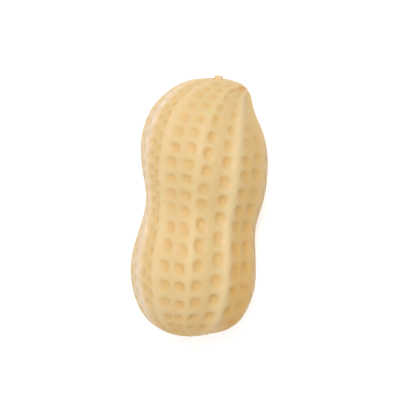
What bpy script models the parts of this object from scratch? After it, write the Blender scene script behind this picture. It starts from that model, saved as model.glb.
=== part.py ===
"""A whole peanut in its shell, lying on its side.

The pod is one piece: two lobes with a waist between them, long ribs from end to end, pits in pairs of
columns between the ribs, and the stub of the stalk that it was picked from. It lies along Y, the stalk
end towards +Y, and rests on z = 0 on a small flat spot under each lobe. Its origin is the middle of its
underside. Lengths are in metres unless a name or a comment says otherwise.

The skin is thought of as unrolled. "around" counts ribs, 0 to 11, from left of the underside over the
left flank, the crown and the right flank. "along" counts sections, 0 at the stalk end to 13 at the tip.
"""

import math

import bmesh
import bpy
import numpy as np
from mathutils import Vector, geometry

# Driving dimensions
POD_LENGTH = 0.038
RIB_HEIGHT = 0.00042
PIT_DEPTH = 0.00027
FLAT_CUT = 0.00022
STUB_RADIUS = 0.00053
STUB_LENGTH = 0.00079

# Body, in hundredths of the pod's length from the middle of the line between its two ends
STALK_END = (0.0, 50.1, -1.6)
TIP_END = (0.0, -50.0, 0.0)
SECTIONS = (
    # left edge x and y, right edge x and y, underside z, crown z
    (-10.3, 49.1, 5.5, 47.1, -11.6, 8.4),
    (-19.9, 45.4, 9.2, 39.6, -17.6, 15.4),
    (-27.4, 37.8, 13.4, 32.9, -21.9, 20.6),
    (-31.0, 28.0, 16.8, 24.7, -23.8, 23.2),
    (-30.8, 17.1, 18.3, 15.5, -24.4, 24.2),
    (-27.9, 6.8, 18.3, 5.5, -23.2, 22.6),
    (-25.6, -2.1, 17.2, -4.5, -21.4, 20.6),
    (-26.3, -13.2, 18.8, -14.5, -22.6, 22.1),
    (-27.3, -24.5, 20.5, -23.9, -24.4, 23.7),
    (-25.0, -35.2, 20.5, -30.8, -23.8, 22.9),
    (-19.3, -44.4, 17.7, -40.0, -19.0, 18.4),
    (-10.5, -49.5, 10.5, -46.5, -10.4, 10.5),
)
LAST = len(SECTIONS) + 1

# Ribs: where each stands round the lobes, in degrees from the crown towards the right flank, and how
# high it is as a share of RIB_HEIGHT
RIBS = (
    (-163.5, 0.9),
    (-127.0, 0.9),
    (-93.0, 1.0),
    (-58.0, 1.05),
    (-37.5, 1.0),
    (-3.4, 0.45),
    (31.0, 1.5),
    (66.0, 1.0),
    (99.0, 0.9),
    (131.0, 0.9),
    (163.5, 0.9),
)
RIB_COUNT = len(RIBS)
RIB_ROUNDING = 0.12
RIBS_RISE_OVER = 1.6
RIBS_RISE_POWER = 0.7

# The fall beside the strongest rib at the tip: its height, then the rib and the section that it lies at and
# its reach in both
NOTCH = (0.0005, 6.6, 12.4, 0.6, 0.6)

# Where the ribs swing aside: by how many degrees towards the right flank, then the section and the rib where
# they swing most, and how many sections and ribs away it fades
SWINGS = (
    (-8.0, 6.5, 3.2, 1.6, 2.2),
    (-2.2, 2.8, 6.0, 2.8, 0.8),
    (12.0, 1.2, 5.4, 2.0, 1.5),
    (60.0, 0.55, 6.2, 0.6, 1.9),
    (-6.0, 11.6, 5.3, 0.9, 1.5),
    (70.0, 12.8, 6.0, 0.5, 3.0),
)

# Pits: two columns between each two ribs. Each column has its place between the ribs, where its first pit
# lies, its step and its last pit, all in sections, and how much the step grows over the tip lobe
PIT_COLUMNS = (
    ((0.27, 1.9, 0.60, 11.6, 0.15), (0.73, 1.6, 0.58, 11.6, 0.15)),
    ((0.27, 1.8, 0.54, 11.6, 0.05), (0.73, 1.5, 0.52, 11.4, 0.05)),
    ((0.27, 2.0, 0.50, 10.9, 0.00), (0.73, 1.7, 0.48, 10.4, 0.00)),
    ((0.30, 1.7, 0.44, 10.6, 0.25), (0.70, 1.5, 0.44, 10.6, 0.25)),
    ((0.30, 1.46, 0.575, 11.9, 0.27), (0.73, 1.31, 0.595, 11.9, 0.24)),
    ((0.22, 1.04, 0.665, 11.6, 0.18), (0.74, 1.65, 0.685, 11.5, 0.23)),
    ((0.25, 3.33, 0.635, 11.2, 0.46), (0.70, 3.72, 0.665, 10.8, 0.36)),
    ((0.27, 2.4, 0.66, 11.2, 0.20), (0.73, 2.1, 0.66, 11.4, 0.20)),
    ((0.27, 2.0, 0.64, 11.6, 0.20), (0.73, 1.7, 0.62, 11.6, 0.20)),
    ((0.27, 1.8, 0.62, 11.6, 0.15), (0.73, 2.0, 0.61, 11.6, 0.15)),
    ((0.27, 1.6, 0.61, 11.6, 0.15), (0.73, 1.9, 0.60, 11.6, 0.15)),
)
PIT_WIDTH = 0.17
PIT_REACH = 0.34
PIT_FLOOR = 0.42
PIT_SQUARENESS = 3
PITS_DEEPEN_OVER = (3.2, 2.2)
SIZE_SPREAD = 0.1
DEPTH_SPREAD = 0.25
ACROSS_SPREAD = 0.02
ALONG_SPREAD = 0.04
RIM_POINTS = 8
FLOOR_POINTS = 4

# How a column's steps change: wider over the tip lobe, by the column's own share, and closer at both ends,
# by a share. Each is at a section and fades over so many sections
WIDER_AT = (8.9, 1.8)
CLOSER_AT = ((-0.25, 1.2, 0.9), (-0.35, 11.6, 1.3))

# Stalk stub: its foot on the pod's outline, in hundredths of the pod's length, and its lean
STUB_FOOT = (-6.2, 48.7, 4.6)
STUB_LEAN = (-0.17, 0.97, 0.04)
STUB_ROOT = 0.0011
STUB_FLARE = 1.32
STUB_SIDES = 10
STUB_RAGGED = 0.08
STUB_HOLLOW = 0.82

# Mesh: triangles are laid out on the unrolled skin, a rib step wide and a section long in millimetres
UNROLLED = (5.2, 4.0)
FIRST_RING = 0.2
SECOND_RING = 0.55
CREST_STEP = 0.6
FILL_SHARES = (0.2, 0.4, 0.6, 0.8)
FILL_ROOM = (0.14, 0.3)
MERGE_DISTANCE = 0.00002


def clear_scene():
    for thing in list(bpy.data.objects):
        bpy.data.objects.remove(thing, do_unlink=True)


def read_loop(values, at):
    """The closed smooth curve through values at 0, 1, 2 ..., read at the places in at."""
    values = np.asarray(values, float)
    count = len(values)
    one = np.eye(count)
    before, after = np.roll(values, 1, 0), np.roll(values, -1, 0)
    matrix = 4 * one + np.roll(one, 1, 1) + np.roll(one, -1, 1)
    bend = np.linalg.solve(matrix, 6 * (after - 2 * values + before))
    start = np.floor(at).astype(int)
    share = at - start
    first, second = start % count, (start + 1) % count
    if values.ndim > 1:
        share = share[..., None]
    rest = 1 - share
    straight = rest * values[first] + share * values[second]
    return straight + ((rest**3 - rest) * bend[first] + (share**3 - share) * bend[second]) / 6


def outline_loops():
    """The pod's outline seen from above, and its half depth and middle height, each as a closed loop.

    The loops run from the stalk end down the right edge to the tip and back up the left edge.
    """
    right = [(s[2], s[3]) for s in SECTIONS]
    left = [(s[0], s[1]) for s in SECTIONS]
    deep = [(s[5] - s[4]) / 2 for s in SECTIONS]
    middle = [(s[5] + s[4]) / 2 for s in SECTIONS]
    edge = [STALK_END[:2], *right, TIP_END[:2], *left[::-1]]
    depth = [0.0, *deep, 0.0, *[-d for d in deep[::-1]]]
    height = [STALK_END[2], *middle, TIP_END[2], *middle[::-1]]
    return edge, depth, height


def rib_angle(around, along):
    """The angle from the crown, in radians, of a place counted in ribs."""
    angles = [angle for angle, _ in RIBS] + [RIBS[0][0] + 360]
    degrees = np.interp(around, np.arange(RIB_COUNT + 1), angles)
    for swing, at_along, at_around, long, wide in SWINGS:
        aside = (around - at_around + RIB_COUNT / 2) % RIB_COUNT - RIB_COUNT / 2
        degrees = degrees + swing * np.exp(-(((along - at_along) / long) ** 2) - (aside / wide) ** 2)
    return np.radians(degrees)


def smooth_body(around, along):
    """The pod without ribs and pits, at places on the unrolled skin."""
    edge, depth, height = outline_loops()
    right, left = read_loop(edge, along), read_loop(edge, -along)
    angle = rib_angle(around, along)
    across = (right + left) / 2 + (right - left) / 2 * np.sin(angle)[..., None]
    up = read_loop(height, along) + read_loop(depth, along) * np.cos(angle)
    return np.concatenate([across, up[..., None]], -1) * POD_LENGTH / 100


def outward(around, along):
    """The smooth body's outward direction."""
    step = 0.01
    over = smooth_body(around + step, along) - smooth_body(around - step, along)
    down = smooth_body(around, along + step) - smooth_body(around, along - step)
    normal = np.cross(down, over)
    return normal / np.linalg.norm(normal, axis=-1, keepdims=True)


def end_fade(along):
    """1 along the pod, falling to 0 at its two ends."""
    room = np.minimum(along, LAST - along)
    return np.clip(room / RIBS_RISE_OVER, 0, 1) ** RIBS_RISE_POWER


def notch(around, along):
    """How far the flank beside the strongest rib falls away at the tip."""
    height, at_around, at_along, wide, long = NOTCH
    return height * np.exp(-(((around - at_around) / wide) ** 2) - ((along - at_along) / long) ** 2)


def rib_rise(around, along):
    """How far the ribs stand above the smooth body: a rounded crest on each, hollow between two."""
    nearest = np.round(around).astype(int)
    away = 2 * np.abs(around - nearest)
    away = np.sqrt(away**2 + RIB_ROUNDING**2)
    share = np.array([share for _, share in RIBS])[nearest % RIB_COUNT]
    return RIB_HEIGHT * share * np.clip(1 - away, 0, 1) ** 2 * end_fade(along) - notch(around, along)


def spread(first, second):
    """A steady number from -1 to 1 that differs from pit to pit."""
    return 0.6 * math.sin(2.4 * first + 5.1 * second) + 0.4 * math.sin(7.3 * first - 3.7 * second)


def column_steps(first, step, last, growth):
    """Each pit of a column as (along, step to the next), closer together towards both ends."""
    along = first
    while along < last:
        changes = ((growth, *WIDER_AT), *CLOSER_AT)
        reach = step * (1 + sum(by * math.exp(-(((along - at) / over) ** 2)) for by, at, over in changes))
        yield along, reach
        along += reach


def pits():
    """Each pit as (around, along, half width, half reach, depth), set out one after another."""
    found = []
    for strip, pair in enumerate(PIT_COLUMNS):
        for side, (place, *column_of) in enumerate(pair):
            column = 2 * strip + side
            for row, (along, reach) in enumerate(column_steps(*column_of)):
                size = 1 + SIZE_SPREAD * spread(column, row)
                near_end = min(1.0, along / PITS_DEEPEN_OVER[0], (LAST - along) / PITS_DEEPEN_OVER[1])
                across = strip + place + ACROSS_SPREAD * spread(row, column + 3)
                down = along + ALONG_SPREAD * spread(row, 2 * column)
                depth = PIT_DEPTH * near_end * (1 + DEPTH_SPREAD * spread(column + 9, row))
                found.append((across, down, PIT_WIDTH * size, PIT_REACH * reach * size, depth))
    return found


def ring_of(count, turn, width, reach):
    """Points round a pit, rounded towards a square."""
    for step in range(count):
        angle = turn + 2 * math.pi * step / count
        cos, sin = math.cos(angle), math.sin(angle)
        stretch = (abs(cos) ** PIT_SQUARENESS + abs(sin) ** PIT_SQUARENESS) ** (-1 / PIT_SQUARENESS)
        yield width * cos * stretch, reach * sin * stretch


def clear_of(found, around, along):
    """Whether a place on the unrolled skin has room to every pit found."""
    beside, before = FILL_ROOM
    return all(
        abs(around - across) > width + beside or abs(along - down) > reach + before
        for across, down, width, reach, _ in found
    )


def lay_out_skin():
    """Places on the unrolled skin with the sink below its ribs at each, and the edges that must stay."""
    places, sinks, edges = [], [], []

    def add_ring(around, along, width, reach, sink, count, turn):
        first = len(places)
        for over, down in ring_of(count, turn, width, reach):
            places.append((around + over, along + down))
            sinks.append(sink)
        edges.extend((first + n, first + (n + 1) % count) for n in range(count))

    found = pits()
    for around, along, width, reach, depth in found:
        add_ring(around, along, width, reach, 0.0, RIM_POINTS, math.pi / RIM_POINTS)
        width, reach = width * PIT_FLOOR, reach * PIT_FLOOR
        add_ring(around, along, width, reach, depth, FLOOR_POINTS, math.pi / FLOOR_POINTS)
    count = round((LAST - 2 * SECOND_RING) / CREST_STEP)
    rows = [FIRST_RING, *np.linspace(SECOND_RING, LAST - SECOND_RING, count + 1), LAST - FIRST_RING]
    for rib in range(RIB_COUNT + 1):
        first = len(places)
        for along in rows:
            places.append((rib, along))
            sinks.append(0.0)
        edges.extend((first + n, first + n + 1) for n in range(len(rows) - 1))
    for strip in range(RIB_COUNT):
        for along in (rows[0], rows[1], rows[-2], rows[-1]):
            places.append((strip + 0.5, along))
            sinks.append(0.0)
        for along in rows[2:-2]:
            for share in FILL_SHARES:
                if clear_of(found, strip + share, along):
                    places.append((strip + share, along))
                    sinks.append(0.0)
    return places, sinks, edges


def raise_skin(places, sinks):
    """The points in space of places on the unrolled skin."""
    around, along = np.array(places).T
    rise = rib_rise(around, along) - np.array(sinks)
    return smooth_body(around, along) + outward(around, along) * rise[:, None]


def pod_mesh():
    """The closed pod: the skin in triangles, joined along the first rib and shut at both ends."""
    places, sinks, edges = lay_out_skin()
    flat = [Vector((a * UNROLLED[0], b * UNROLLED[1])) for a, b in places]
    laid, _, faces, origins, _, _ = geometry.delaunay_2d_cdt(flat, edges, [], 0, 1e-6)
    if len(laid) != len(flat):
        raise ValueError("two pits or ribs cross on the unrolled skin")
    order = [origin[0] for origin in origins]
    points = raise_skin([places[n] for n in order], [sinks[n] for n in order])
    mesh = bmesh.new()
    corners = [mesh.verts.new(point) for point in points]
    for face in faces:
        mesh.faces.new([corners[n] for n in face])
    bmesh.ops.remove_doubles(mesh, verts=mesh.verts, dist=MERGE_DISTANCE)
    for along in (0.0, float(LAST)):
        pole = mesh.verts.new(smooth_body(np.array(0.0), np.array(along)))
        middle = smooth_body(np.array(0.0), np.array(along))[1]
        rim = [e for e in mesh.edges if e.is_boundary and (e.verts[0].co.y > 0) == (middle > 0)]
        for edge in rim:
            mesh.faces.new((*edge.verts, pole))
    bmesh.ops.recalc_face_normals(mesh, faces=mesh.faces)
    return mesh


def mesh_object(name, mesh):
    data = bpy.data.meshes.new(name)
    mesh.to_mesh(data)
    mesh.free()
    made = bpy.data.objects.new(name, data)
    bpy.context.scene.collection.objects.link(made)
    return made


def stub_mesh(shift):
    """The stalk stub: a short peg that widens to a broken, uneven end, its root inside the pod."""
    foot = Vector(STUB_FOOT) * POD_LENGTH / 100 + shift
    lean = Vector(STUB_LEAN).normalized()
    side = lean.cross(Vector((0, 0, 1))).normalized()
    up = side.cross(lean)
    rings = ((-STUB_ROOT, 1.0, 0.0), (0.0, 1.0, 0.0), (STUB_LENGTH, STUB_FLARE, 1.0))
    mesh = bmesh.new()
    made = []
    for reach, swell, uneven in rings:
        ring = []
        for n in range(STUB_SIDES):
            angle = 2 * math.pi * n / STUB_SIDES
            ragged = uneven * STUB_RAGGED * math.cos(3 * angle + 0.5)
            out = (side * math.cos(angle) + up * math.sin(angle)) * STUB_RADIUS * swell
            ring.append(mesh.verts.new(foot + out * (1 + ragged) + lean * reach * (1 + ragged)))
        made.append(ring)
    for low, high in zip(made, made[1:]):
        for n in range(STUB_SIDES):
            beside = (n + 1) % STUB_SIDES
            mesh.faces.new((low[n], low[beside], high[beside], high[n]))
    mesh.faces.new(made[0])
    hollow = mesh.verts.new(foot + lean * STUB_LENGTH * STUB_HOLLOW)
    for n in range(STUB_SIDES):
        mesh.faces.new((made[-1][n], made[-1][(n + 1) % STUB_SIDES], hollow))
    bmesh.ops.recalc_face_normals(mesh, faces=mesh.faces)
    return mesh


def below_floor_mesh():
    """A block that fills the space under z = 0."""
    mesh = bmesh.new()
    bmesh.ops.create_cube(mesh, size=2 * POD_LENGTH)
    bmesh.ops.translate(mesh, verts=mesh.verts, vec=(0, 0, -POD_LENGTH))
    return mesh


def boolean(target, tool, operation):
    modifier = target.modifiers.new(tool.name, "BOOLEAN")
    modifier.operation = operation
    modifier.solver = "EXACT"
    modifier.object = tool
    tool.hide_render = True
    tool.display_type = "WIRE"


def shell_material():
    material = bpy.data.materials.new("peanut shell")
    material.use_nodes = True
    surface = material.node_tree.nodes["Principled BSDF"]
    surface.inputs["Base Color"].default_value = (0.62, 0.45, 0.22, 1)
    surface.inputs["Roughness"].default_value = 0.55
    return material


def main():
    clear_scene()
    mesh = pod_mesh()
    points = np.array([corner.co for corner in mesh.verts])
    stub = stub_mesh(Vector())
    ends = np.concatenate([points, np.array([corner.co for corner in stub.verts])])
    stub.free()
    low, high = ends.min(0), ends.max(0)
    shift = Vector((-(low[0] + high[0]) / 2, -(low[1] + high[1]) / 2, -low[2] - FLAT_CUT))
    bmesh.ops.translate(mesh, verts=mesh.verts, vec=shift)
    pod = mesh_object("peanut", mesh)
    boolean(pod, mesh_object("stalk stub", stub_mesh(shift)), "UNION")
    boolean(pod, mesh_object("below the floor", below_floor_mesh()), "DIFFERENCE")
    pod.data.materials.append(shell_material())


main()
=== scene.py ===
"""A whole peanut in its shell, lying on its side under soft light.

The shell is made from the same sections, ribs and pits as the plain pod, much finer, and stands for it.
Its skin is thought of as unrolled: "around" counts ribs, 0 to 11, from left of the underside over the left
flank, the crown and the right flank, and "along" counts sections, 0 at the stalk end to 13 at the tip.
"""

import math

import bmesh
import bpy
import numpy as np
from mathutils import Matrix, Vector


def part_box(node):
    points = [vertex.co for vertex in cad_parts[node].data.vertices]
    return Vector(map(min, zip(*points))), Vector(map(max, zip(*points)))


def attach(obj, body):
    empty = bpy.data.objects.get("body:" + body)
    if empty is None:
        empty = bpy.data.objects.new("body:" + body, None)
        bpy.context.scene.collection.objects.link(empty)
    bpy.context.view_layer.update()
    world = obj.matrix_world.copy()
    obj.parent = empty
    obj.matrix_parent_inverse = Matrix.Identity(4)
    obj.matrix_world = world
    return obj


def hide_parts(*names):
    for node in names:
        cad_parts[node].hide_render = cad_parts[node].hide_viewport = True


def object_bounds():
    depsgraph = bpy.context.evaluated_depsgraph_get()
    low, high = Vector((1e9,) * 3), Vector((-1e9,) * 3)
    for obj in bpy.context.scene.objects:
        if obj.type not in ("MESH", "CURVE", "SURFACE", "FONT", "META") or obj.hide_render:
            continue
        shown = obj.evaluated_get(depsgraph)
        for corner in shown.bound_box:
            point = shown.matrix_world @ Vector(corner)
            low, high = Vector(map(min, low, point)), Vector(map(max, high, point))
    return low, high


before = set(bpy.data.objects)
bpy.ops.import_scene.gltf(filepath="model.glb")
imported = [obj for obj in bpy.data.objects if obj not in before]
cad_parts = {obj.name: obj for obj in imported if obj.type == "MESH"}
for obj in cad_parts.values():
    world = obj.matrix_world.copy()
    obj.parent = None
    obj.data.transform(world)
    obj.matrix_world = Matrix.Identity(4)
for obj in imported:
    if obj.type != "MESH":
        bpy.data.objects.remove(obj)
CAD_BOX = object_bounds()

bl_info = {
    "name": "Peanut in its shell",
    "version": (1, 0, 0),
    "blender": (4, 5, 0),
    "location": "3D View > Sidebar > Peanut",
    "description": "Makes a whole peanut pod with ribs and pits, its stalk stub and a small studio",
    "category": "Add Mesh",
}

BODY = "root"
NODE = "peanut"

# The pod's own length as a share of the whole, and the middle of its line between the two ends as shares of
# its own length from the middle of the underside
OWN_LENGTH = 0.9813
LINE_MIDDLE = (0.0537, -0.0027, 0.2400)

# The body, in hundredths of the pod's length from the middle of the line between its two ends
STALK_END = (0.0, 50.1, -1.6)
TIP_END = (0.0, -50.0, 0.0)
SECTIONS = (
    # left edge x and y, right edge x and y, underside z, crown z
    (-10.3, 49.1, 5.5, 47.1, -11.6, 8.4),
    (-19.9, 45.4, 9.2, 39.6, -17.6, 15.4),
    (-27.4, 37.8, 13.4, 32.9, -21.9, 20.6),
    (-31.0, 28.0, 16.8, 24.7, -23.8, 23.2),
    (-30.8, 17.1, 18.3, 15.5, -24.4, 24.2),
    (-27.9, 6.8, 18.3, 5.5, -23.2, 22.6),
    (-25.6, -2.1, 17.2, -4.5, -21.4, 20.6),
    (-26.3, -13.2, 18.8, -14.5, -22.6, 22.1),
    (-27.3, -24.5, 20.5, -23.9, -24.4, 23.7),
    (-25.0, -35.2, 20.5, -30.8, -23.8, 22.9),
    (-19.3, -44.4, 17.7, -40.0, -19.0, 18.4),
    (-10.5, -49.5, 10.5, -46.5, -10.4, 10.5),
)
LAST = len(SECTIONS) + 1

# Ribs: where each stands round the lobes, in degrees from the crown towards the right flank, and its height
# as a share of the rib height
RIBS = (
    (-163.5, 0.9),
    (-127.0, 0.9),
    (-93.0, 1.0),
    (-58.0, 1.05),
    (-37.5, 1.0),
    (-3.4, 0.45),
    (31.0, 1.5),
    (66.0, 1.0),
    (99.0, 0.9),
    (131.0, 0.9),
    (163.5, 0.9),
)
RIB_COUNT = len(RIBS)

# Over how many sections the ribs rise from nothing at both ends, and how steeply
RIBS_RISE_OVER = 1.6
RIBS_RISE_POWER = 0.7

# Rib 6 fades towards the stalk end: by what share, then the rib and the section and the reach in both
FADING = (0.55, 6.0, 0.6, 0.5, 1.9)

# The fall beside the strongest rib at the tip: its height, then the rib and the section that it lies at and
# its reach in both
NOTCH = (0.0005, 6.6, 12.4, 0.6, 0.6)

# Where the ribs swing aside: by how many degrees towards the right flank, then the section and the rib
# where they swing most, and how many sections and ribs away it fades
SWINGS = (
    (-8.0, 6.5, 3.2, 1.6, 2.2),
    (-2.2, 2.8, 6.0, 2.8, 0.8),
    (12.0, 1.2, 5.4, 2.0, 1.5),
    (60.0, 0.55, 6.2, 0.6, 1.9),
    (-6.0, 11.6, 5.3, 0.9, 1.5),
    (70.0, 12.8, 6.0, 0.5, 3.0),
)

# Orange patches: the rib and the section that each lies at and its reach in both
BLUSHES = (
    (5.38, 0.95, 0.3, 0.32),
    (6.7, 11.1, 0.2, 0.2),
)

# Pits: two columns between each two ribs. Each column has its place between the ribs, where its first pit
# lies, its step and its last pit, all in sections, and how much the step grows over the tip lobe
PIT_COLUMNS = (
    ((0.27, 1.9, 0.60, 11.6, 0.15), (0.73, 1.6, 0.58, 11.6, 0.15)),
    ((0.27, 1.8, 0.54, 11.6, 0.05), (0.73, 1.5, 0.52, 11.4, 0.05)),
    ((0.27, 2.0, 0.50, 10.9, 0.00), (0.73, 1.7, 0.48, 10.4, 0.00)),
    ((0.30, 1.7, 0.44, 10.6, 0.25), (0.70, 1.5, 0.44, 10.6, 0.25)),
    ((0.30, 1.46, 0.575, 11.9, 0.27), (0.73, 1.31, 0.595, 11.9, 0.24)),
    ((0.22, 1.04, 0.665, 11.6, 0.18), (0.74, 1.65, 0.685, 11.5, 0.23)),
    ((0.25, 3.33, 0.635, 11.2, 0.46), (0.70, 3.72, 0.665, 10.8, 0.36)),
    ((0.27, 2.4, 0.66, 11.2, 0.20), (0.73, 2.1, 0.66, 11.4, 0.20)),
    ((0.27, 2.0, 0.64, 11.6, 0.20), (0.73, 1.7, 0.62, 11.6, 0.20)),
    ((0.27, 1.8, 0.62, 11.6, 0.15), (0.73, 2.0, 0.61, 11.6, 0.15)),
    ((0.27, 1.6, 0.61, 11.6, 0.15), (0.73, 1.9, 0.60, 11.6, 0.15)),
)

# An ordinary pit: half its width as a share of a rib step, half its reach as a share of its column's step,
# and how square it is, where 2 would be an ellipse. Pits are shallower over so many sections at each end
PIT_WIDTH = 0.17
PIT_REACH = 0.34
PIT_SQUARENESS = 2.6
PITS_DEEPEN_OVER = (3.2, 2.2)

# How much the pits differ from one another: in size, in depth, and in place around and along
SIZE_SPREAD = 0.1
DEPTH_SPREAD = 0.25
ACROSS_SPREAD = 0.02
ALONG_SPREAD = 0.04

# How a column's steps change: wider over the tip lobe, by the column's own share, and closer at both ends,
# by a share. Each is at a section and fades over so many sections
WIDER_AT = (8.9, 1.8)
CLOSER_AT = ((-0.25, 1.2, 0.9), (-0.35, 11.6, 1.3))

# Right of the crown the pits are narrower towards the stalk end: by what share, the rib and the section and
# the reach in both. Everywhere they are a little taller than the plain pod's
NARROWER = (0.3, 5.5, 2.5, 0.6, 3.5)
TALLER = 1.1

# The unrolled skin, in millimetres: how wide a rib step and how long a section is
UNROLLED = (5.2, 4.0)

# The skin's mesh: columns in each rib step, and rows
FINE_COLUMNS = 28
FINE_ROWS = 298

# How much deeper a pit's floor is at its end towards the stalk, and at its side towards the crown's rib
DEEPEST_UP = 0.3
DEEPEST_ASIDE = 0.3
CROWN_RIB = 5

# A pit's form, by the distance from its middle as a share of its size: where its wall starts and ends, and
# where the skin beside it starts and ends to sink. Then its depth at its middle, and that of the skin beside
PIT_WALL = (1.08, 0.48)
SINK_BESIDE = (1.5, 0.6)
MIDDLE_DEPTH = 0.65
DEPTH_BESIDE = 0.25

# A pit's tint, its golden colour deepened with painted shade where the pit is deepest: where its soft edge
# starts and ends, and the share of it that the shallowest pit keeps
TINT_AND_SHADE_EDGE = (1.25, 0.5)
TINT_AND_SHADE_KEPT = 0.4

# Where the pits are shallower: by what share, then the rib and the section and the reach in both. These are
# the left flank, the crown's left side, the right flank near the stalk end and the crown's waist
SHALLOWER = (
    (0.45, 3.0, 6.5, 1.0, 40.0),
    (0.45, 4.5, 2.8, 0.7, 1.6),
    (0.9, 6.7, 2.6, 1.2, 1.6),
    (0.3, 4.6, 6.6, 1.5, 1.6),
)

# The stalk stub: its foot on the pod's outline in hundredths of the pod's length, and its lean
STUB_FOOT = (-6.2, 48.7, 4.6)
STUB_LEAN = (-0.17, 0.97, 0.04)
STUB_RADIUS = 0.00053
STUB_LENGTH = 0.00079
STUB_SIDES = 36

# The stub's root inside the pod: its depth and its radius as a share. Then the stub up its outside, over its
# rim and down into its hollow end, and the waves round its ragged rim
STUB_ROOT = (0.0011, 1.1)
STUB_PROFILE = (
    # height as a share of the length, radius as a share, raggedness
    (-0.2, 1.15, 0.0),
    (0.15, 1.0, 0.1),
    (0.5, 1.04, 0.3),
    (0.8, 1.18, 0.7),
    (0.95, 1.26, 1.0),
    (1.0, 1.18, 1.0),
    (0.93, 0.9, 0.8),
    (0.84, 0.5, 0.5),
    (0.82, 0.2, 0.2),
)
STUB_WAVES = (
    # waves round the rim, height as a share, turn in radians
    (3, 0.07, 0.5),
    (7, 0.025, 0.0),
)

# The painted sheen: a paler colour on the left flank that stands for the light falling on that side, in ribs:
# over which it starts beside the underside, over which it ends towards the crown, and its palest line, a
# painted highlight along rib 3, with the line's reach. Then the share that it keeps away from that line, and
# the small share that goes on up to the crown and fades over the last ribs given
PAINTED_SHEEN_STARTS = (0.8, 1.8)
PAINTED_SHEEN_ENDS = (3.5, 2.9)
PAINTED_HIGHLIGHT_LINE = (2.95, 0.3)
PAINTED_SHEEN_KEPT = 0.45
PAINTED_SHEEN_TO_CROWN = 0.1
CROWN_STARTS = (5.3, 4.3)

# The painted shade: a deeper colour for the right flank, which faces away from the light. Over which ribs it
# starts and ends there, over which sections it grows there and what it keeps before them, and over which
# sections it starts at the tip, which is painted with shade too
PAINTED_SHADE_STARTS = (5.9, 6.3)
PAINTED_SHADE_ENDS = (9.5, 7.5)
PAINTED_SHADE_GROWS = (2.0, 10.0)
PAINTED_SHADE_KEPT = 0.43
PAINTED_SHADE_TIP = (10.6, 12.4)

# There is a little painted shade at the stalk end too, over these sections, and along a line beside rib 4
PAINTED_SHADE_STALK = (2.2, 1.0)
STALK_SHARE = 0.2
PAINTED_SHADE_LINE = (3.75, 0.35)
LINE_SHARE = 0.3

# Noises: scale per metre, detail and, for those that are drawn out along the pod, by how much
EVEN = (1.0, 1.0, 1.0)
WAVES = {"scale": 420.0, "detail": 3.0}
MOTTLING = {"scale": 430.0, "detail": 2.0}
SHEEN = {"scale": 700.0, "detail": 3.0}
GRAIN = {"scale": 1500.0, "detail": 4.0, "stretch": (1.0, 0.35, 1.0)}
# Painted glints: pale flecks on the crests of the left flank
PAINTED_GLINTS = {"scale": 1700.0, "detail": 2.0, "stretch": (1.0, 0.45, 1.0)}
PORES = {"scale": 4200.0, "detail": 2.0}
FIBRES = {"scale": 5200.0, "detail": 3.0, "stretch": (1.0, 0.15, 1.0), "roughness": 0.5}

# The range of each noise that is spread over the whole range of what it drives
MOTTLING_RANGE = (0.35, 0.65)
SHEEN_RANGE = (0.3, 0.7)
GRAIN_RANGE = (0.3, 0.8)
PAINTED_GLINT_RANGE = (0.5, 0.62)
FIBRE_RANGE = (0.35, 0.7)

# How strongly each tint colours the skin, the pits' with its painted shade and the flecks as painted glints,
# and how much of the pits' tint is lost under the painted sheen of the left flank
CREST_TINT = 0.5
PIT_TINT_AND_SHADE = 0.92
PIT_TINT_AND_SHADE_LOST = 0.5
PAINTED_GLINT_TINT = 0.9
GRAIN_TINT = 0.18

# The skin's waxy surface, how much its roughness falls and rises, and the pores' share of its grain
SKIN_SURFACE = {
    "Subsurface Weight": 0.25,
    "Subsurface Radius": (1.0, 0.55, 0.3),
    "Subsurface Scale": 0.0009,
    "Specular IOR Level": 0.32,
    "Coat Weight": 0.06,
    "Coat Roughness": 0.35,
}
SHEEN_CHANGE = (-0.06, 0.08)
PORE_SHARE = 0.4
SKIN_BUMP = {"Strength": 0.12, "Distance": 0.00008}
STUB_BUMP = {"Strength": 0.4, "Distance": 0.00006}
STUB_ROUGHNESS = 0.62
FLOOR_ROUGHNESS = 0.9
WHITE = (1.0, 1.0, 1.0, 1.0)

# The lamp: how far it is to the picture's left, towards its top and up from the middle of the underside
LAMP_PLACE = (0.02, 0.072, 0.225)

# The picture: how wide it is at the pod's widest level, its middle on the floor plane and how far it is
# turned against the frame, in degrees. Then the camera's sensor, in millimetres, and the nearest it sees
PICTURE_WIDTH = 0.0589
PICTURE_MIDDLE = (-0.00006, 0.0008)
PICTURE_TURN = 9.76
SENSOR_WIDTH = 36.0
NEAREST_SEEN = 0.01


def add_node(tree, kind, inputs=(), **settings):
    """Adds a node, sets its options, and fills its inputs by a value or by another node's output."""
    node = tree.nodes.new(kind)
    for name, value in settings.items():
        setattr(node, name, value)
    for key, value in dict(inputs).items():
        socket = node.inputs[key]
        if isinstance(value, bpy.types.NodeSocket):
            tree.links.new(value, socket)
        else:
            socket.default_value = value
    return node


def calculate(tree, operation, *values, clamp=False):
    """A Math node's output."""
    made = add_node(tree, "ShaderNodeMath", enumerate(values), operation=operation, use_clamp=clamp)
    return made.outputs[0]


def calculate_vector(tree, operation, *values, scale=None):
    """A Vector Math node's output."""
    inputs = dict(enumerate(values))
    if scale is not None:
        inputs["Scale"] = scale
    made = add_node(tree, "ShaderNodeVectorMath", inputs, operation=operation)
    return made.outputs["Value" if operation == "DOT_PRODUCT" else "Vector"]


def remap(tree, value, low, high, new_low=0.0, new_high=1.0, smooth=True):
    """A value brought from one range to another, held at its ends."""
    inputs = {"Value": value, "From Min": low, "From Max": high, "To Min": new_low, "To Max": new_high}
    kind = "SMOOTHSTEP" if smooth else "LINEAR"
    return add_node(tree, "ShaderNodeMapRange", inputs, interpolation_type=kind).outputs[0]


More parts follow.
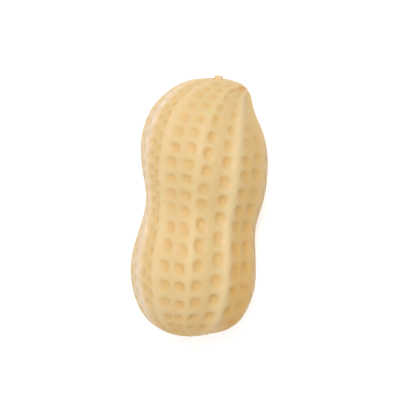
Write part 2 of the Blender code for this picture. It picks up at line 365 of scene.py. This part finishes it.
def noise(tree, place, scale, detail, stretch=EVEN, roughness=0.55):
    """Noise at a place, finer with a greater scale, and drawn out along an axis with a small stretch."""
    stretched = calculate_vector(tree, "MULTIPLY", place, stretch)
    inputs = {"Vector": stretched, "Scale": scale, "Detail": detail, "Roughness": roughness}
    return add_node(tree, "ShaderNodeTexNoise", inputs).outputs[0]


def ramp(value, start, end):
    """0 at the start, 1 at the end, held beyond them."""
    return np.clip((value - start) / (end - start), 0, 1)


def bell(value, middle, reach):
    """1 at the middle, fading over a reach to both sides."""
    return np.exp(-(((value - middle) / reach) ** 2))


def read_loop(values, at):
    """The closed smooth curve through values at 0, 1, 2 ..., read at the places in at."""
    values = np.asarray(values, float)
    count = len(values)
    one = np.eye(count)
    before, after = np.roll(values, 1, 0), np.roll(values, -1, 0)
    matrix = 4 * one + np.roll(one, 1, 1) + np.roll(one, -1, 1)
    bend = np.linalg.solve(matrix, 6 * (after - 2 * values + before))
    start = np.floor(at).astype(int)
    share = at - start
    first, second = start % count, (start + 1) % count
    if values.ndim > 1:
        share = share[..., None]
    rest = 1 - share
    straight = rest * values[first] + share * values[second]
    return straight + ((rest**3 - rest) * bend[first] + (share**3 - share) * bend[second]) / 6


def outline_loops():
    """The pod's outline seen from above, and its half depth and middle height, each as a closed loop.

    The loops run from the stalk end down the right edge to the tip and back up the left edge.
    """
    right = [(s[2], s[3]) for s in SECTIONS]
    left = [(s[0], s[1]) for s in SECTIONS]
    deep = [(s[5] - s[4]) / 2 for s in SECTIONS]
    middle = [(s[5] + s[4]) / 2 for s in SECTIONS]
    edge = [STALK_END[:2], *right, TIP_END[:2], *left[::-1]]
    depth = [0.0, *deep, 0.0, *[-d for d in deep[::-1]]]
    height = [STALK_END[2], *middle, TIP_END[2], *middle[::-1]]
    return edge, depth, height


def rib_angle(around, along):
    """The angle from the crown, in radians, of a place counted in ribs."""
    angles = [angle for angle, _ in RIBS] + [RIBS[0][0] + 360]
    degrees = np.interp(around, np.arange(RIB_COUNT + 1), angles)
    for swing, at_along, at_around, long, wide in SWINGS:
        aside = (around - at_around + RIB_COUNT / 2) % RIB_COUNT - RIB_COUNT / 2
        degrees = degrees + swing * bell(along, at_along, long) * bell(aside, 0, wide)
    return np.radians(degrees)


def pod_length():
    """The pod's length between its two ends, without the stub, in metres."""
    low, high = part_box(NODE)
    return (high[1] - low[1]) * OWN_LENGTH


def in_frame(points):
    """Points given in hundredths of the pod's length, in the frame's metres."""
    return (np.asarray(points) / 100 + np.array(LINE_MIDDLE)) * pod_length()


def smooth_body(around, along):
    """The pod without ribs and pits, at places on the unrolled skin."""
    edge, depth, height = outline_loops()
    right, left = read_loop(edge, along), read_loop(edge, -along)
    angle = rib_angle(around, along)
    across = (right + left) / 2 + (right - left) / 2 * np.sin(angle)[..., None]
    up = read_loop(height, along) + read_loop(depth, along) * np.cos(angle)
    return in_frame(np.concatenate([across, up[..., None]], -1))


def end_fade(along):
    """1 along the pod, falling to 0 at its two ends."""
    return ramp(np.minimum(along, LAST - along), 0, RIBS_RISE_OVER) ** RIBS_RISE_POWER


def painted_sheen_share(around):
    """Up to 1 where the left flank gets its painted sheen, palest along rib 3 as a painted highlight."""
    on_flank = ramp(around, *PAINTED_SHEEN_ENDS) * (PAINTED_SHEEN_KEPT + (1 - PAINTED_SHEEN_KEPT) * bell(around, *PAINTED_HIGHLIGHT_LINE))
    up_to_crown = PAINTED_SHEEN_TO_CROWN * ramp(around, *CROWN_STARTS)
    return np.maximum(on_flank, up_to_crown) * ramp(around, *PAINTED_SHEEN_STARTS)


def painted_shade_share(around, along):
    """Up to 1 where the skin gets painted shade: the right flank, the tip, a little at the stalk and left of
    rib 4.
    """
    on_right = ramp(around, *PAINTED_SHADE_STARTS) * ramp(around, *PAINTED_SHADE_ENDS)
    on_right = on_right * np.maximum(ramp(along, *PAINTED_SHADE_GROWS), PAINTED_SHADE_KEPT)
    at_tip = ramp(along, *PAINTED_SHADE_TIP)
    at_stalk = STALK_SHARE * ramp(along, *PAINTED_SHADE_STALK)
    beside_rib = LINE_SHARE * bell(around, *PAINTED_SHADE_LINE)
    return np.max([on_right, at_tip, at_stalk, beside_rib], axis=0)


def fade_round(spot, around, along):
    """1 at a spot of the unrolled skin, fading over its reach."""
    at_around, at_along, wide, long = spot
    return bell(around, at_around, wide) * bell(along, at_along, long)


def blush_share(around, along):
    """Up to 1 in the few small orange patches."""
    return sum(fade_round(spot, around, along) for spot in BLUSHES)


def spread(first, second):
    """A steady number from -1 to 1 that differs from pit to pit."""
    return 0.6 * math.sin(2.4 * first + 5.1 * second) + 0.4 * math.sin(7.3 * first - 3.7 * second)


def column_steps(first, step, last, growth):
    """Each pit of a column as (along, step to the next), closer together towards both ends."""
    along = first
    while along < last:
        changes = ((growth, *WIDER_AT), *CLOSER_AT)
        reach = step * (1 + sum(by * bell(along, at, over) for by, at, over in changes))
        yield along, reach
        along += reach


def pits():
    """Each pit as (around, along, half width, half reach, depth), its depth as a share of the pit depth."""
    found = []
    for strip, pair in enumerate(PIT_COLUMNS):
        for side, (place, *column_of) in enumerate(pair):
            column = 2 * strip + side
            for row, (along, reach) in enumerate(column_steps(*column_of)):
                size = 1 + SIZE_SPREAD * spread(column, row)
                near_end = min(1.0, along / PITS_DEEPEN_OVER[0], (LAST - along) / PITS_DEEPEN_OVER[1])
                across = strip + place + ACROSS_SPREAD * spread(row, column + 3)
                down = along + ALONG_SPREAD * spread(row, 2 * column)
                depth = near_end * (1 + DEPTH_SPREAD * spread(column + 9, row))
                found.append((across, down, PIT_WIDTH * size, PIT_REACH * reach * size, depth))
    return found


def new_object(name, mesh):
    """A mesh as an object of the scene, at the origin."""
    made = bpy.data.objects.new(name, mesh)
    bpy.context.scene.collection.objects.link(made)
    return made


def store(mesh, name, values, kind="FLOAT"):
    """Stores a value at each of the mesh's points, under a name that nodes can read."""
    attribute = mesh.attributes.new(name, kind, "POINT")
    field = "vector" if kind == "FLOAT_VECTOR" else "value"
    attribute.data.foreach_set(field, np.asarray(values, np.float32).ravel())


def skin_faces(columns):
    """The faces of the closed grid: four-sided between its rows, and a fan round each of its two poles."""
    faces = []
    for row in range(FINE_ROWS - 1):
        low, high = row * columns, (row + 1) * columns
        for column in range(columns):
            beside = (column + 1) % columns
            faces.append((low + column, high + column, high + beside, low + beside))
    first_pole = FINE_ROWS * columns
    end_row = first_pole - columns
    for column in range(columns):
        beside = (column + 1) % columns
        faces.append((first_pole, column, beside))
        faces.append((first_pole + 1, end_row + beside, end_row + column))
    return faces


def skin_object():
    """The smooth closed body as a fine grid, with each point's place on the unrolled skin."""
    columns = FINE_COLUMNS * RIB_COUNT
    rows = np.linspace(0, LAST, FINE_ROWS + 2)[1:-1]
    around = np.arange(columns) / FINE_COLUMNS
    along_grid, around_grid = np.meshgrid(rows, around, indexing="ij")
    body = smooth_body(around_grid, along_grid).reshape(-1, 3)
    poles = smooth_body(np.zeros(2), np.array([0.0, LAST]))
    points = np.concatenate([body, poles])
    mesh = bpy.data.meshes.new("skin")
    mesh.from_pydata(points.tolist(), [], skin_faces(columns))
    mesh.shade_smooth()
    at_around = np.append(around_grid.ravel(), (0.0, 0.0))
    at_along = np.append(along_grid.ravel(), (0.0, LAST))
    at_rib = np.round(at_around)
    shares = np.array([share for _, share in RIBS])[at_rib.astype(int) % RIB_COUNT]
    fading = 1 - FADING[0] * fade_round(FADING[1:], at_rib, at_along)
    store(mesh, "around", at_around)
    store(mesh, "along", at_along)
    store(mesh, "rib share", fading * shares)
    store(mesh, "end fade", end_fade(at_along))
    # Where the skin gets its painted sheen and its painted shade
    store(mesh, "paler", painted_sheen_share(at_around))
    store(mesh, "deeper", painted_shade_share(at_around, at_along))
    store(mesh, "blush", blush_share(at_around, at_along))
    store(mesh, "notch", NOTCH[0] * fade_round(NOTCH[1:], at_around, at_along))
    return new_object("peanut_shell", mesh)


def pit_marks_object():
    """A point for each pit on the unrolled skin, with its half width, half reach and depth.

    Its floor falls towards the stalk end, and near the crown's rib towards that rib too.
    """
    marks = []
    for around, along, width, reach, depth in pits():
        for share, *spot in SHALLOWER:
            depth *= 1 - share * fade_round(spot, around, along)
        width *= 1 - NARROWER[0] * fade_round(NARROWER[1:], around, along)
        reach *= TALLER
        for turn in (-RIB_COUNT, 0, RIB_COUNT):
            if -1 < around + turn < RIB_COUNT + 1:
                marks.append((around + turn, along, width, reach, depth))
    marks = np.array(marks)
    wide, long = UNROLLED
    places = marks[:, :2] * (wide, long)
    mesh = bpy.data.meshes.new("pit marks")
    mesh.from_pydata(np.column_stack([places, np.zeros(len(marks))]).tolist(), [], [])
    store(mesh, "pit size", marks[:, 2:] * (wide, long, 1), "FLOAT_VECTOR")
    from_crown = marks[:, 0] - CROWN_RIB
    aside = -DEEPEST_ASIDE * np.sign(from_crown) * np.exp(-(from_crown**2))
    deepest = np.column_stack([aside, np.full(len(marks), -DEEPEST_UP), np.zeros(len(marks))])
    store(mesh, "pit deepest", deepest, "FLOAT_VECTOR")
    return new_object("pit marks", mesh)


def named(tree, name, kind="FLOAT"):
    """The value that the mesh stores under a name."""
    inputs = {"Name": name}
    made = add_node(tree, "GeometryNodeInputNamedAttribute", inputs, data_type=kind)
    return made.outputs["Attribute"]


def keep(tree, geometry, name, value):
    """The geometry with a value stored under a name."""
    inputs = {"Geometry": geometry, "Name": name, "Value": value}
    return add_node(tree, "GeometryNodeStoreNamedAttribute", inputs).outputs[0]


def new_geometry_tree(name, sockets):
    """An empty Geometry Nodes tree with named inputs, given as (name, type), and its input and output."""
    tree = bpy.data.node_groups.new(name, "GeometryNodeTree")
    for way in ("OUTPUT", "INPUT"):
        tree.interface.new_socket("Geometry", in_out=way, socket_type="NodeSocketGeometry")
    for socket_name, kind in sockets:
        tree.interface.new_socket(socket_name, in_out="INPUT", socket_type="NodeSocket" + kind)
    start = tree.nodes.new("NodeGroupInput").outputs
    end = tree.nodes.new("NodeGroupOutput").inputs
    return tree, start, end


def rib_crests(tree, given, around):
    """How high the skin stands on its ribs, as a share of the rib height."""
    nearest = calculate(tree, "ROUND", around)
    away = calculate(tree, "MULTIPLY", calculate(tree, "SUBTRACT", around, nearest), 2.0)
    rounding = calculate(tree, "POWER", given["Rib Rounding"], 2.0)
    away = calculate(tree, "SQRT", calculate(tree, "MULTIPLY_ADD", away, away, rounding))
    crest = calculate(tree, "POWER", calculate(tree, "SUBTRACT", 1.0, away, clamp=True), 2.0)
    strength = calculate(tree, "MULTIPLY", named(tree, "rib share"), named(tree, "end fade"))
    return calculate(tree, "MULTIPLY", crest, strength)


def pit_dishes(tree, given, around, along):
    """How deep the skin lies in its pits, as a share of the pit depth, and how strong their tint with its
    painted shade is.
    """
    wide, long = UNROLLED
    across = calculate(tree, "MULTIPLY", around, wide)
    down = calculate(tree, "MULTIPLY", along, long)
    place = add_node(tree, "ShaderNodeCombineXYZ", {"X": across, "Y": down}).outputs[0]
    marks = add_node(tree, "GeometryNodeObjectInfo", {"Object": given["Pit Marks"]}).outputs["Geometry"]
    inputs = {"Geometry": marks, "Sample Position": place}
    index = add_node(tree, "GeometryNodeSampleNearest", inputs).outputs[0]

    def of_nearest(value):
        """A value of the nearest pit mark."""
        inputs = {"Geometry": marks, "Value": value, "Index": index}
        return add_node(tree, "GeometryNodeSampleIndex", inputs, data_type="FLOAT_VECTOR").outputs[0]

    middle = of_nearest(tree.nodes.new("GeometryNodeInputPosition").outputs[0])
    size = of_nearest(named(tree, "pit size", "FLOAT_VECTOR"))
    depth = add_node(tree, "ShaderNodeSeparateXYZ", {0: size}).outputs["Z"]
    offset = calculate_vector(tree, "SUBTRACT", place, middle)
    offset = calculate_vector(tree, "DIVIDE", offset, size)
    deepest = of_nearest(named(tree, "pit deepest", "FLOAT_VECTOR"))
    towards_deepest = calculate_vector(tree, "DOT_PRODUCT", offset, deepest)
    slope = calculate(tree, "ADD", towards_deepest, MIDDLE_DEPTH, clamp=True)
    parts = add_node(tree, "ShaderNodeSeparateXYZ", {0: calculate_vector(tree, "ABSOLUTE", offset)}).outputs
    across, down = (calculate(tree, "POWER", parts[axis], PIT_SQUARENESS) for axis in ("X", "Y"))
    from_pit = calculate(tree, "POWER", calculate(tree, "ADD", across, down), 1 / PIT_SQUARENESS)

    bowl = calculate(tree, "MULTIPLY", remap(tree, from_pit, *PIT_WALL), slope)
    hollow = calculate(tree, "MULTIPLY_ADD", remap(tree, from_pit, *SINK_BESIDE), DEPTH_BESIDE, bowl)
    hollow = calculate(tree, "MULTIPLY", hollow, depth)
    # The tint: the pits' golden colour, with painted shade that grows where each pit is deepest
    tint_and_shade = calculate(tree, "MULTIPLY", slope, remap(tree, from_pit, *TINT_AND_SHADE_EDGE))
    kept = calculate(tree, "MULTIPLY_ADD", depth, 1 - TINT_AND_SHADE_KEPT, TINT_AND_SHADE_KEPT, clamp=True)
    return hollow, calculate(tree, "MULTIPLY", tint_and_shade, kept)


def lift_to_floor(tree, geometry, floor):
    """The geometry with what lies below the floor moved up to it."""
    position = tree.nodes.new("GeometryNodeInputPosition").outputs[0]
    parts = add_node(tree, "ShaderNodeSeparateXYZ", {0: position}).outputs
    above = calculate(tree, "MAXIMUM", parts["Z"], floor)
    inputs = {"X": parts["X"], "Y": parts["Y"], "Z": above}
    place = add_node(tree, "ShaderNodeCombineXYZ", inputs).outputs[0]
    inputs = {"Geometry": geometry, "Position": place}
    return add_node(tree, "GeometryNodeSetPosition", inputs).outputs[0]


def relief_tree():
    """Ribs and pits raised on the skin, each pit a rounded square dish with a soft rim."""
    sockets = (
        ("Pit Marks", "Object"),
        ("Rib Height", "Float"),
        ("Rib Rounding", "Float"),
        ("Pit Depth", "Float"),
        ("Unevenness", "Float"),
        ("Floor", "Float"),
        ("Shell Material", "Material"),
    )
    tree, given, end = new_geometry_tree("Ribs and pits", sockets)
    around, along = named(tree, "around"), named(tree, "along")
    crest = rib_crests(tree, given, around)
    hollow, tint_and_shade = pit_dishes(tree, given, around, along)
    rise = calculate(tree, "MULTIPLY", crest, given["Rib Height"])
    sink = calculate(tree, "MULTIPLY", hollow, given["Pit Depth"])
    position = tree.nodes.new("GeometryNodeInputPosition").outputs[0]
    waves = calculate(tree, "SUBTRACT", noise(tree, position, **WAVES), 0.5)
    waviness = calculate(tree, "MULTIPLY", waves, given["Unevenness"])
    height = calculate(tree, "ADD", calculate(tree, "SUBTRACT", rise, sink), waviness)
    height = calculate(tree, "SUBTRACT", height, named(tree, "notch"))

    normal = tree.nodes.new("GeometryNodeInputNormal").outputs[0]
    offset = calculate_vector(tree, "SCALE", normal, scale=height)
    inputs = {"Geometry": given["Geometry"], "Offset": offset}
    raised = add_node(tree, "GeometryNodeSetPosition", inputs).outputs[0]
    rested = lift_to_floor(tree, raised, given["Floor"])
    # The pits' tint, with its painted shade
    stored = keep(tree, rested, "pit", tint_and_shade)
    stored = keep(tree, stored, "crest", crest)
    whole = add_node(tree, "GeometryNodeRealizeInstances", {"Geometry": stored}).outputs[0]
    inputs = {"Geometry": whole, "Material": given["Shell Material"]}
    dressed = add_node(tree, "GeometryNodeSetMaterial", inputs).outputs[0]
    tree.links.new(dressed, end["Geometry"])
    return tree


def settle(thing, tree, values):
    """Runs a tree on an object with its inputs set, and keeps the result as the object's plain mesh."""
    modifier = thing.modifiers.new(tree.name, "NODES")
    modifier.node_group = tree
    for item in tree.interface.items_tree:
        if item.in_out == "INPUT" and item.name in values:
            modifier[item.identifier] = values[item.name]
    evaluated = thing.evaluated_get(bpy.context.evaluated_depsgraph_get())
    mesh = bpy.data.meshes.new_from_object(evaluated)
    thing.modifiers.remove(modifier)
    thing.data = mesh
    mesh.name = thing.name
    mesh.shade_smooth()


def new_material(name):
    """A new material, its tree and its surface node."""
    material = bpy.data.materials.new(name)
    material.use_nodes = True
    surface = material.node_tree.nodes["Principled BSDF"]
    return material, material.node_tree, surface


def mix(tree, share, first, second):
    """A colour between two, which are values or other nodes' outputs."""
    made = add_node(tree, "ShaderNodeMix", {"Factor": share}, data_type="RGBA")
    for key, value in (("A", first), ("B", second)):
        socket = next(s for s in made.inputs if s.name == key and s.type == "RGBA")
        if isinstance(value, bpy.types.NodeSocket):
            tree.links.new(value, socket)
        else:
            socket.default_value = (*value[:3], 1.0)
    return next(s for s in made.outputs if s.type == "RGBA")


def attribute(tree, name):
    """The value that the mesh stores under a name, for a material."""
    return add_node(tree, "ShaderNodeAttribute", attribute_name=name).outputs["Fac"]


def set_inputs(node, values):
    """Sets a node's inputs by their names."""
    for name, value in values.items():
        node.inputs[name].default_value = value


def add_bump(tree, surface, height, strength):
    """Roughens a surface finely by a height."""
    bump = add_node(tree, "ShaderNodeBump", {"Height": height, **strength})
    tree.links.new(bump.outputs[0], surface.inputs["Normal"])


def shell_material(sizes):
    """Smooth, waxy, straw-coloured skin, more golden in the pits and paler on the crests, with painted light:
    a painted sheen and glints on the left flank, painted shade on the right flank, the tip and the stalk end,
    and painted shade in the pits.
    """
    material, tree, surface = new_material("peanut shell")
    place = tree.nodes.new("ShaderNodeTexCoord").outputs["Object"]
    mottling = noise(tree, place, **MOTTLING)
    grain = noise(tree, place, **GRAIN)
    painted_glints = noise(tree, place, **PAINTED_GLINTS)
    sheen = noise(tree, place, **SHEEN)
    pores = noise(tree, place, **PORES)
    on_crest = attribute(tree, "crest")
    on_painted_sheen = attribute(tree, "paler")

    mottling = remap(tree, mottling, *MOTTLING_RANGE)
    skin = mix(tree, mottling, sizes.skin_colour, sizes.skin_shade)
    crest_tint = calculate(tree, "MULTIPLY", on_crest, CREST_TINT, clamp=True)
    skin = mix(tree, crest_tint, skin, sizes.crest_colour)
    # A painted sheen: the left flank paler, for the light that falls on it
    skin = mix(tree, on_painted_sheen, skin, sizes.painted_sheen_colour)
    # Painted shade: a deeper colour on the right flank, the tip, the stalk end and beside rib 4
    skin = mix(tree, attribute(tree, "deeper"), skin, sizes.shade_and_fibre_colour)
    # The pits' golden tint, with painted shade where each pit is deepest
    pit_tint_and_shade = calculate(tree, "MULTIPLY_ADD", on_painted_sheen, -PIT_TINT_AND_SHADE_LOST, PIT_TINT_AND_SHADE)
    pit_tint_and_shade = calculate(tree, "MULTIPLY", attribute(tree, "pit"), pit_tint_and_shade)
    skin = mix(tree, pit_tint_and_shade, skin, sizes.pit_and_shade_colour)
    # Painted glints: pale flecks along the crests of the left flank, standing for small highlights
    painted_glints = remap(tree, painted_glints, *PAINTED_GLINT_RANGE)
    painted_glints = calculate(tree, "MULTIPLY", painted_glints, calculate(tree, "MULTIPLY", on_painted_sheen, on_crest))
    painted_glints = calculate(tree, "MULTIPLY", painted_glints, PAINTED_GLINT_TINT, clamp=True)
    skin = mix(tree, painted_glints, skin, sizes.painted_glint_colour)
    grain_tint = remap(tree, grain, *GRAIN_RANGE, 0.0, GRAIN_TINT, smooth=False)
    skin = mix(tree, grain_tint, skin, sizes.pit_and_shade_colour)
    skin = mix(tree, attribute(tree, "blush"), skin, sizes.patch_colour)
    tree.links.new(skin, surface.inputs["Base Color"])

    smoothest, roughest = (sizes.roughness + change for change in SHEEN_CHANGE)
    roughness = remap(tree, sheen, *SHEEN_RANGE, smoothest, roughest)
    tree.links.new(roughness, surface.inputs["Roughness"])
    set_inputs(surface, SKIN_SURFACE)
    relief = calculate(tree, "ADD", grain, calculate(tree, "MULTIPLY", pores, PORE_SHARE))
    add_bump(tree, surface, relief, SKIN_BUMP)
    return material


def stub_material(sizes):
    """The dry, fibrous stalk, paler than the shell."""
    material, tree, surface = new_material("dry stalk")
    place = tree.nodes.new("ShaderNodeTexCoord").outputs["Object"]
    fibres = noise(tree, place, **FIBRES)
    # The stub's darker fibres, in the colour that paints shade on the shell
    skin = mix(tree, remap(tree, fibres, *FIBRE_RANGE), sizes.stub_colour, sizes.shade_and_fibre_colour)
    tree.links.new(skin, surface.inputs["Base Color"])
    set_inputs(surface, {"Roughness": STUB_ROUGHNESS})
    add_bump(tree, surface, fibres, STUB_BUMP)
    return material


def stub_mesh():
    """The stub: a short peg with its root in the pod, a ragged rim and a hollow end."""
    foot = Vector(in_frame(STUB_FOOT))
    lean = Vector(STUB_LEAN).normalized()
    side = lean.cross(Vector((0, 0, 1))).normalized()
    up = side.cross(lean)
    root_depth, root_swell = STUB_ROOT
    profile = [(-root_depth, root_swell, 0.0)]
    profile += [(share * STUB_LENGTH, swell, uneven) for share, swell, uneven in STUB_PROFILE]
    mesh = bmesh.new()
    rings = []
    for reach, swell, uneven in profile:
        ring = []
        for n in range(STUB_SIDES):
            angle = 2 * math.pi * n / STUB_SIDES
            wave = sum(height * math.cos(count * angle + turn) for count, height, turn in STUB_WAVES)
            ragged = 1 + uneven * wave
            out = (side * math.cos(angle) + up * math.sin(angle)) * STUB_RADIUS * swell * ragged
            ring.append(mesh.verts.new(foot + out + lean * reach * ragged))
        rings.append(ring)
    for low, high in zip(rings, rings[1:]):
        for n in range(STUB_SIDES):
            beside = (n + 1) % STUB_SIDES
            mesh.faces.new((low[n], low[beside], high[beside], high[n]))
    mesh.faces.new(rings[0])
    mesh.faces.new(rings[-1])
    bmesh.ops.recalc_face_normals(mesh, faces=mesh.faces)
    data = bpy.data.meshes.new("stalk_stub")
    mesh.to_mesh(data)
    mesh.free()
    data.shade_smooth()
    return data


def finish_piece(piece, replaced):
    """Puts a piece on its body, in place of the plain solid that it stands for."""
    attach(piece, BODY)
    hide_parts(replaced)


def colour(name, description, default):
    """A colour that the panel shows."""
    return bpy.props.FloatVectorProperty(
        name=name, description=description, default=default, subtype="COLOR", min=0, max=1
    )


class PeanutSizes(bpy.types.PropertyGroup):
    """Sizes and colours of the pod."""

    rib_height: bpy.props.FloatProperty(
        name="Rib height", description="Of an ordinary rib", default=0.00042, subtype="DISTANCE"
    )
    rib_rounding: bpy.props.FloatProperty(
        name="Rib rounding",
        description="0 is a sharp crest",
        default=0.12,
        min=0.02,
        max=0.6,
        subtype="FACTOR",
    )
    pit_depth: bpy.props.FloatProperty(
        name="Pit depth", description="Of an ordinary pit", default=0.00028, subtype="DISTANCE"
    )
    unevenness: bpy.props.FloatProperty(
        name="Unevenness", description="Soft waves in the skin", default=0.00008, subtype="DISTANCE"
    )
    skin_colour: colour("Skin", "Between the pits", (0.481, 0.360, 0.164))
    skin_shade: colour("Skin shade", "Pinker mottling", (0.498, 0.353, 0.172))
    crest_colour: colour("Crest", "Along the ribs", (0.585, 0.485, 0.29))
    # The pits' golden colour, which also paints shade in them and darkens the grain
    pit_and_shade_colour: colour("Pit", "In the pits", (0.493, 0.279, 0.076))
    # A painted sheen: the paler colour of the left flank, for the light that falls on it
    painted_sheen_colour: colour("Painted sheen", "On the left flank", (0.53, 0.412, 0.282))
    # Painted shade on the shell's right flank, tip and stalk end, and the darker fibres of the stub
    shade_and_fibre_colour: colour("Shade and fibres", "Painted shade on the right side and tip, and the stub's fibres", (0.504, 0.311, 0.098))
    # Painted glints along the crests of the left flank
    painted_glint_colour: colour("Painted glints", "On the left flank's ribs", (0.66, 0.53, 0.42))
    patch_colour: colour("Patches", "Small, at both ends", (0.49, 0.24, 0.045))
    stub_colour: colour("Stalk", "Of the dry stub", (0.68, 0.54, 0.34))
    roughness: bpy.props.FloatProperty(
        name="Roughness", description="Of the waxy skin", default=0.55, min=0.1, max=0.9, subtype="FACTOR"
    )


class StudioSizes(bpy.types.PropertyGroup):
    """The floor, the lights and the camera."""

    floor_size: bpy.props.FloatProperty(
        name="Floor", description="Side of the floor", default=4.0, subtype="DISTANCE"
    )
    floor_colour: colour("Floor colour", "Plain and pale", (0.7, 0.7, 0.7))
    floor_glow: bpy.props.FloatProperty(
        name="Floor glow",
        description="Keeps the soft shadow pale",
        default=0.42,
        min=0,
        max=1,
        subtype="FACTOR",
    )
    key_power: bpy.props.FloatProperty(
        name="Main light",
        description="Its power, from above and the stalk end",
        default=0.36,
        subtype="POWER",
    )
    key_size: bpy.props.FloatProperty(
        name="Light size", description="Width of the main light", default=0.1, subtype="DISTANCE"
    )
    fill_strength: bpy.props.FloatProperty(
        name="Fill", description="Brightness of the white surroundings", default=0.95
    )
    fill_tilt: bpy.props.FloatProperty(
        name="Fill tilt", description="How much brighter they are towards the left", default=0.2
    )
    lens: bpy.props.FloatProperty(
        name="Lens", description="Focal length", default=135.0, subtype="DISTANCE_CAMERA"
    )


class PEANUT_OT_shell(bpy.types.Operator):
    """Make the shell with its ribs and pits"""

    bl_idname = "peanut.shell"
    bl_label = "Shell"

    def execute(self, context):
        sizes = context.scene.peanut_sizes
        shell = skin_object()
        marks = pit_marks_object()
        values = {
            "Pit Marks": marks,
            "Rib Height": sizes.rib_height,
            "Rib Rounding": sizes.rib_rounding,
            "Pit Depth": sizes.pit_depth,
            "Unevenness": sizes.unevenness,
            "Floor": 0.0,
            "Shell Material": shell_material(sizes),
        }
        settle(shell, relief_tree(), values)
        bpy.data.objects.remove(marks)
        finish_piece(shell, NODE)
        return {"FINISHED"}


class PEANUT_OT_stub(bpy.types.Operator):
    """Make the stub of the stalk"""

    bl_idname = "peanut.stub"
    bl_label = "Stalk stub"

    def execute(self, context):
        sizes = context.scene.peanut_sizes
        stub = new_object("stalk_stub", stub_mesh())
        stub.data.materials.append(stub_material(sizes))
        finish_piece(stub, NODE)
        return {"FINISHED"}


class PEANUT_OT_studio(bpy.types.Operator):
    """Make the floor, the lights and the camera"""

    bl_idname = "peanut.studio"
    bl_label = "Studio"

    def execute(self, context):
        scene = context.scene
        studio = scene.peanut_studio
        self.make_floor(studio)
        self.make_lights(scene, studio)
        self.make_camera(scene, studio)
        scene.view_settings.view_transform = "Standard"
        return {"FINISHED"}

    def make_floor(self, studio):
        """A plain floor with a faint glow, which keeps the shadow pale."""
        half = studio.floor_size / 2
        mesh = bpy.data.meshes.new("floor")
        corners = [(-half, -half, 0), (half, -half, 0), (half, half, 0), (-half, half, 0)]
        mesh.from_pydata(corners, [], [(0, 1, 2, 3)])
        floor = new_object("floor", mesh)
        material, _, surface = new_material("pale floor")
        values = {
            "Base Color": (*studio.floor_colour, 1.0),
            "Roughness": FLOOR_ROUGHNESS,
            "Emission Color": WHITE,
            "Emission Strength": studio.floor_glow,
        }
        set_inputs(surface, values)
        mesh.materials.append(material)

    def make_lights(self, scene, studio):
        """White surroundings, brighter towards the picture's left, and one soft round lamp."""
        world = bpy.data.worlds.new("white surroundings")
        world.use_nodes = True
        turn = math.radians(PICTURE_TURN)
        left = Vector((-math.cos(turn), -math.sin(turn), 0))
        top = Vector((-math.sin(turn), math.cos(turn), 0))
        sky = world.node_tree
        background = sky.nodes["Background"].inputs
        background["Color"].default_value = WHITE
        towards = sky.nodes.new("ShaderNodeTexCoord").outputs["Generated"]
        share = calculate_vector(sky, "DOT_PRODUCT", towards, left[:])
        tilt = calculate(sky, "MULTIPLY", share, studio.fill_tilt)
        sky.links.new(calculate(sky, "ADD", tilt, studio.fill_strength), background["Strength"])
        scene.world = world
        light = bpy.data.lights.new("main light", "AREA")
        light.shape = "DISK"
        light.size = studio.key_size
        light.energy = studio.key_power
        lamp = bpy.data.objects.new("main light", light)
        scene.collection.objects.link(lamp)
        to_left, to_top, up = LAMP_PLACE
        lamp.location = left * to_left + top * to_top + Vector((0, 0, up))
        lamp.rotation_euler = (-lamp.location).to_track_quat("-Z", "Y").to_euler()

    def make_camera(self, scene, studio):
        """A camera straight above, turned as the photo is."""
        camera = bpy.data.cameras.new("camera")
        camera.sensor_width = SENSOR_WIDTH
        camera.lens = studio.lens
        eye = bpy.data.objects.new("camera", camera)
        scene.collection.objects.link(eye)
        widest = (CAD_BOX[0][2] + CAD_BOX[1][2]) / 2
        distance = PICTURE_WIDTH * studio.lens / SENSOR_WIDTH
        eye.location = (*PICTURE_MIDDLE, widest + distance)
        eye.rotation_euler = (0, 0, math.radians(PICTURE_TURN))
        camera.clip_start = NEAREST_SEEN
        scene.camera = eye


class PEANUT_PT_panel(bpy.types.Panel):
    """Lists the pieces and their sizes"""

    bl_idname = "PEANUT_PT_panel"
    bl_label = "Peanut"
    bl_space_type = "VIEW_3D"
    bl_region_type = "UI"
    bl_category = "Peanut"

    def draw(self, context):
        for group in (context.scene.peanut_sizes, context.scene.peanut_studio):
            column = self.layout.column()
            for name in type(group).__annotations__:
                column.prop(group, name)
        for operator in OPERATORS:
            self.layout.operator(operator.bl_idname)


OPERATORS = (PEANUT_OT_shell, PEANUT_OT_stub, PEANUT_OT_studio)
CLASSES = (PeanutSizes, StudioSizes, *OPERATORS, PEANUT_PT_panel)


def register():
    """Adds the classes and their settings to Blender."""
    for made in CLASSES:
        bpy.utils.register_class(made)
    bpy.types.Scene.peanut_sizes = bpy.props.PointerProperty(type=PeanutSizes)
    bpy.types.Scene.peanut_studio = bpy.props.PointerProperty(type=StudioSizes)


def unregister():
    """Takes them away again."""
    del bpy.types.Scene.peanut_studio
    del bpy.types.Scene.peanut_sizes
    for made in reversed(CLASSES):
        bpy.utils.unregister_class(made)


def main():
    register()
    bpy.ops.peanut.shell()
    bpy.ops.peanut.stub()
    bpy.ops.peanut.studio()


if __name__ == "__main__":
    main()
